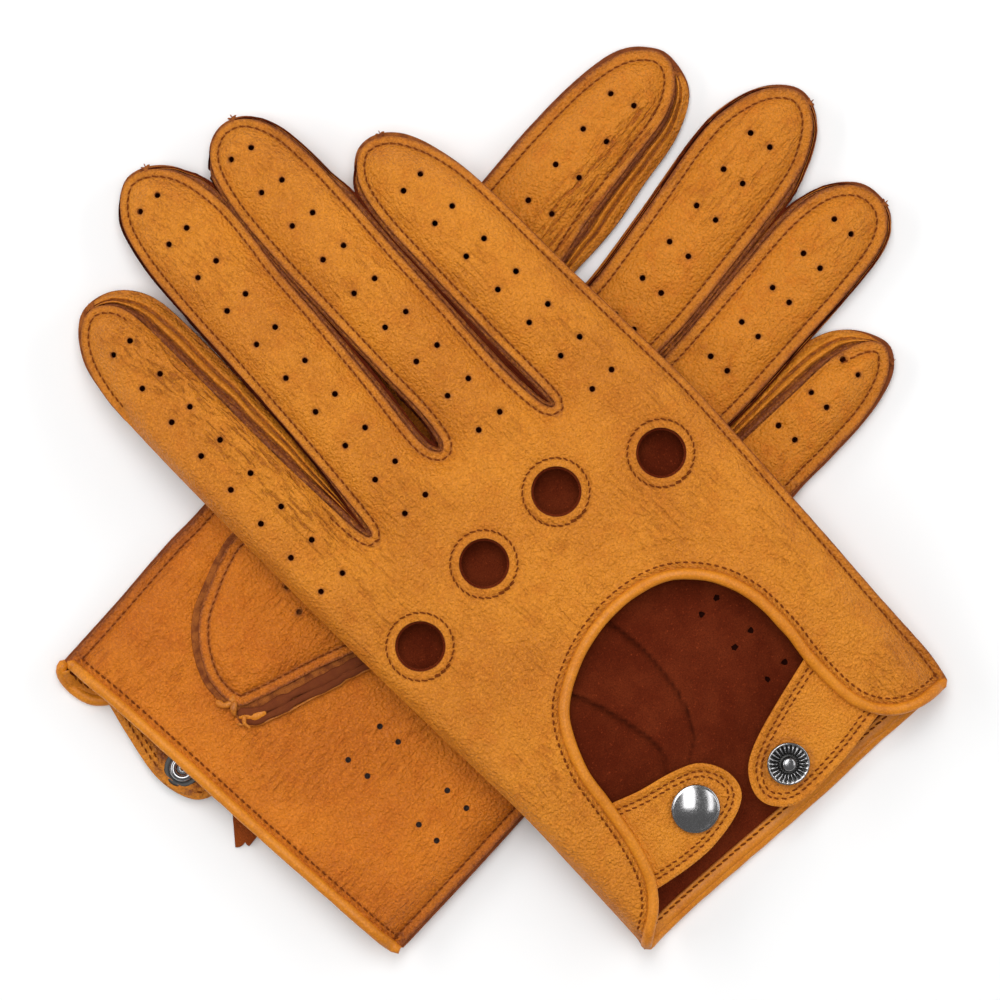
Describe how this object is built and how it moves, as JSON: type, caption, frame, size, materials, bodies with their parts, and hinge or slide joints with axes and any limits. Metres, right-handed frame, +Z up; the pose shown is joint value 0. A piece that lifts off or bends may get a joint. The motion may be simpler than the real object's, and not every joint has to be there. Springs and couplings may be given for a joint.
{
  "type": "pair of driving gloves",
  "caption": "Crossed pair of perforated leather driving gloves with knuckle holes, a bound opening over the back of the hand and snap straps at the wrist.",
  "frame": {"origin": "on the surface the pair lies on, under the middle of the pair's box", "axes": "+Z up from the surface, +Y along the upper glove's fingers, +X along the lower glove's fingers to within 4 degrees"},
  "size_m": [0.2382, 0.2344, 0.0217],
  "materials": {
    "tan_leather": "semi-matt grain",
    "strap_leather": "semi-matt grain",
    "suede_leather": "suede",
    "dark_nickel": "polished dark nickel"
  },
  "bodies": {
    "left_hand": {"left_back_panel": "tan_leather", "left_palm_panel": "tan_leather", "left_index_fourchette": "strap_leather", "left_middle_fourchette": "strap_leather", "left_ring_fourchette": "strap_leather", "left_thumb_outer": "tan_leather", "left_thumb_inner": "tan_leather", "left_opening_binding": "strap_leather", "left_cuff_binding": "strap_leather", "left_knuckle_facings": "suede_leather", "left_cap_strap": "strap_leather", "left_stud_strap": "strap_leather", "left_snap_cap": "dark_nickel", "left_snap_socket": "dark_nickel", "left_snap_stud": "dark_nickel", "left_snap_eyelet": "dark_nickel", "left_leather_tab": "suede_leather"},
    "right_hand": {"right_back_panel": "tan_leather", "right_palm_panel": "tan_leather", "right_index_fourchette": "strap_leather", "right_middle_fourchette": "strap_leather", "right_ring_fourchette": "strap_leather", "right_thumb_outer": "tan_leather", "right_thumb_inner": "tan_leather", "right_opening_binding": "strap_leather", "right_cuff_binding": "strap_leather", "right_knuckle_facings": "suede_leather"},
    "right_cap_strap": {"right_cap_strap": "strap_leather", "right_snap_cap": "dark_nickel", "right_snap_socket": "dark_nickel"},
    "right_stud_strap": {"right_stud_strap": "strap_leather", "right_snap_stud": "dark_nickel", "right_snap_eyelet": "dark_nickel"},
    "left_index_finger": {"left_index_tip_back": "tan_leather", "left_index_tip_palm": "tan_leather", "left_index_tip_fourchette": "strap_leather"},
    "left_middle_finger": {"left_middle_tip_back": "tan_leather", "left_middle_tip_palm": "tan_leather", "left_middle_tip_fourchette": "strap_leather"},
    "left_ring_finger": {"left_ring_tip_back": "tan_leather", "left_ring_tip_palm": "tan_leather", "left_ring_tip_fourchette": "strap_leather"},
    "left_little_finger": {"left_little_tip_back": "tan_leather", "left_little_tip_palm": "tan_leather", "left_little_tip_fourchette": "strap_leather"},
    "right_index_finger": {"right_index_tip_back": "tan_leather", "right_index_tip_palm": "tan_leather", "right_index_tip_fourchette": "strap_leather"},
    "right_middle_finger": {"right_middle_tip_back": "tan_leather", "right_middle_tip_palm": "tan_leather", "right_middle_tip_fourchette": "strap_leather"},
    "right_ring_finger": {"right_ring_tip_back": "tan_leather", "right_ring_tip_palm": "tan_leather", "right_ring_tip_fourchette": "strap_leather"},
    "right_little_finger": {"right_little_tip_back": "tan_leather", "right_little_tip_palm": "tan_leather", "right_little_tip_fourchette": "strap_leather"}
  },
  "joints": [
    {"name": "right_glove_lift", "type": "slide", "parent": "left_hand", "child": "right_hand", "axis": [0, 0, 1], "range_m": [0, 0.08]},
    {"name": "left_index_fold", "type": "hinge", "parent": "left_hand", "child": "left_index_finger", "pos_m": [0.05214, 0.03828, 0.0075], "axis": [0.0698, -0.9976, 0], "range_deg": [0, 90]},
    {"name": "left_middle_fold", "type": "hinge", "parent": "left_hand", "child": "left_middle_finger", "pos_m": [0.05423, 0.00836, 0.0075], "axis": [0.0698, -0.9976, 0], "range_deg": [0, 90]},
    {"name": "left_ring_fold", "type": "hinge", "parent": "left_hand", "child": "left_ring_finger", "pos_m": [0.05604, -0.01758, 0.0075], "axis": [0.0698, -0.9976, 0], "range_deg": [0, 90]},
    {"name": "left_little_fold", "type": "hinge", "parent": "left_hand", "child": "left_little_finger", "pos_m": [0.05783, -0.04312, 0.0075], "axis": [0.0698, -0.9976, 0], "range_deg": [0, 90]},
    {"name": "right_index_fold", "type": "hinge", "parent": "right_hand", "child": "right_index_finger", "pos_m": [-0.04974, 0.0523, 0.0217], "axis": [1, 0, 0], "range_deg": [0, 90]},
    {"name": "right_middle_fold", "type": "hinge", "parent": "right_hand", "child": "right_middle_finger", "pos_m": [-0.01974, 0.0523, 0.0217], "axis": [1, 0, 0], "range_deg": [0, 90]},
    {"name": "right_ring_fold", "type": "hinge", "parent": "right_hand", "child": "right_ring_finger", "pos_m": [0.00626, 0.0523, 0.0217], "axis": [1, 0, 0], "range_deg": [0, 90]},
    {"name": "right_little_fold", "type": "hinge", "parent": "right_hand", "child": "right_little_finger", "pos_m": [0.03186, 0.0523, 0.0217], "axis": [1, 0, 0], "range_deg": [0, 90]},
    {"name": "cap_strap_swing", "type": "hinge", "parent": "right_hand", "child": "right_cap_strap", "pos_m": [-0.04374, -0.09127, 0.01708], "axis": [-0.2524, -0.9495, -0.1862], "range_deg": [0, 110]},
    {"name": "stud_strap_swing", "type": "hinge", "parent": "right_hand", "child": "right_stud_strap", "pos_m": [0.01676, -0.09928, 0.01551], "axis": [-0.0905, 0.9773, 0.1916], "range_deg": [0, 110]}
  ]
}
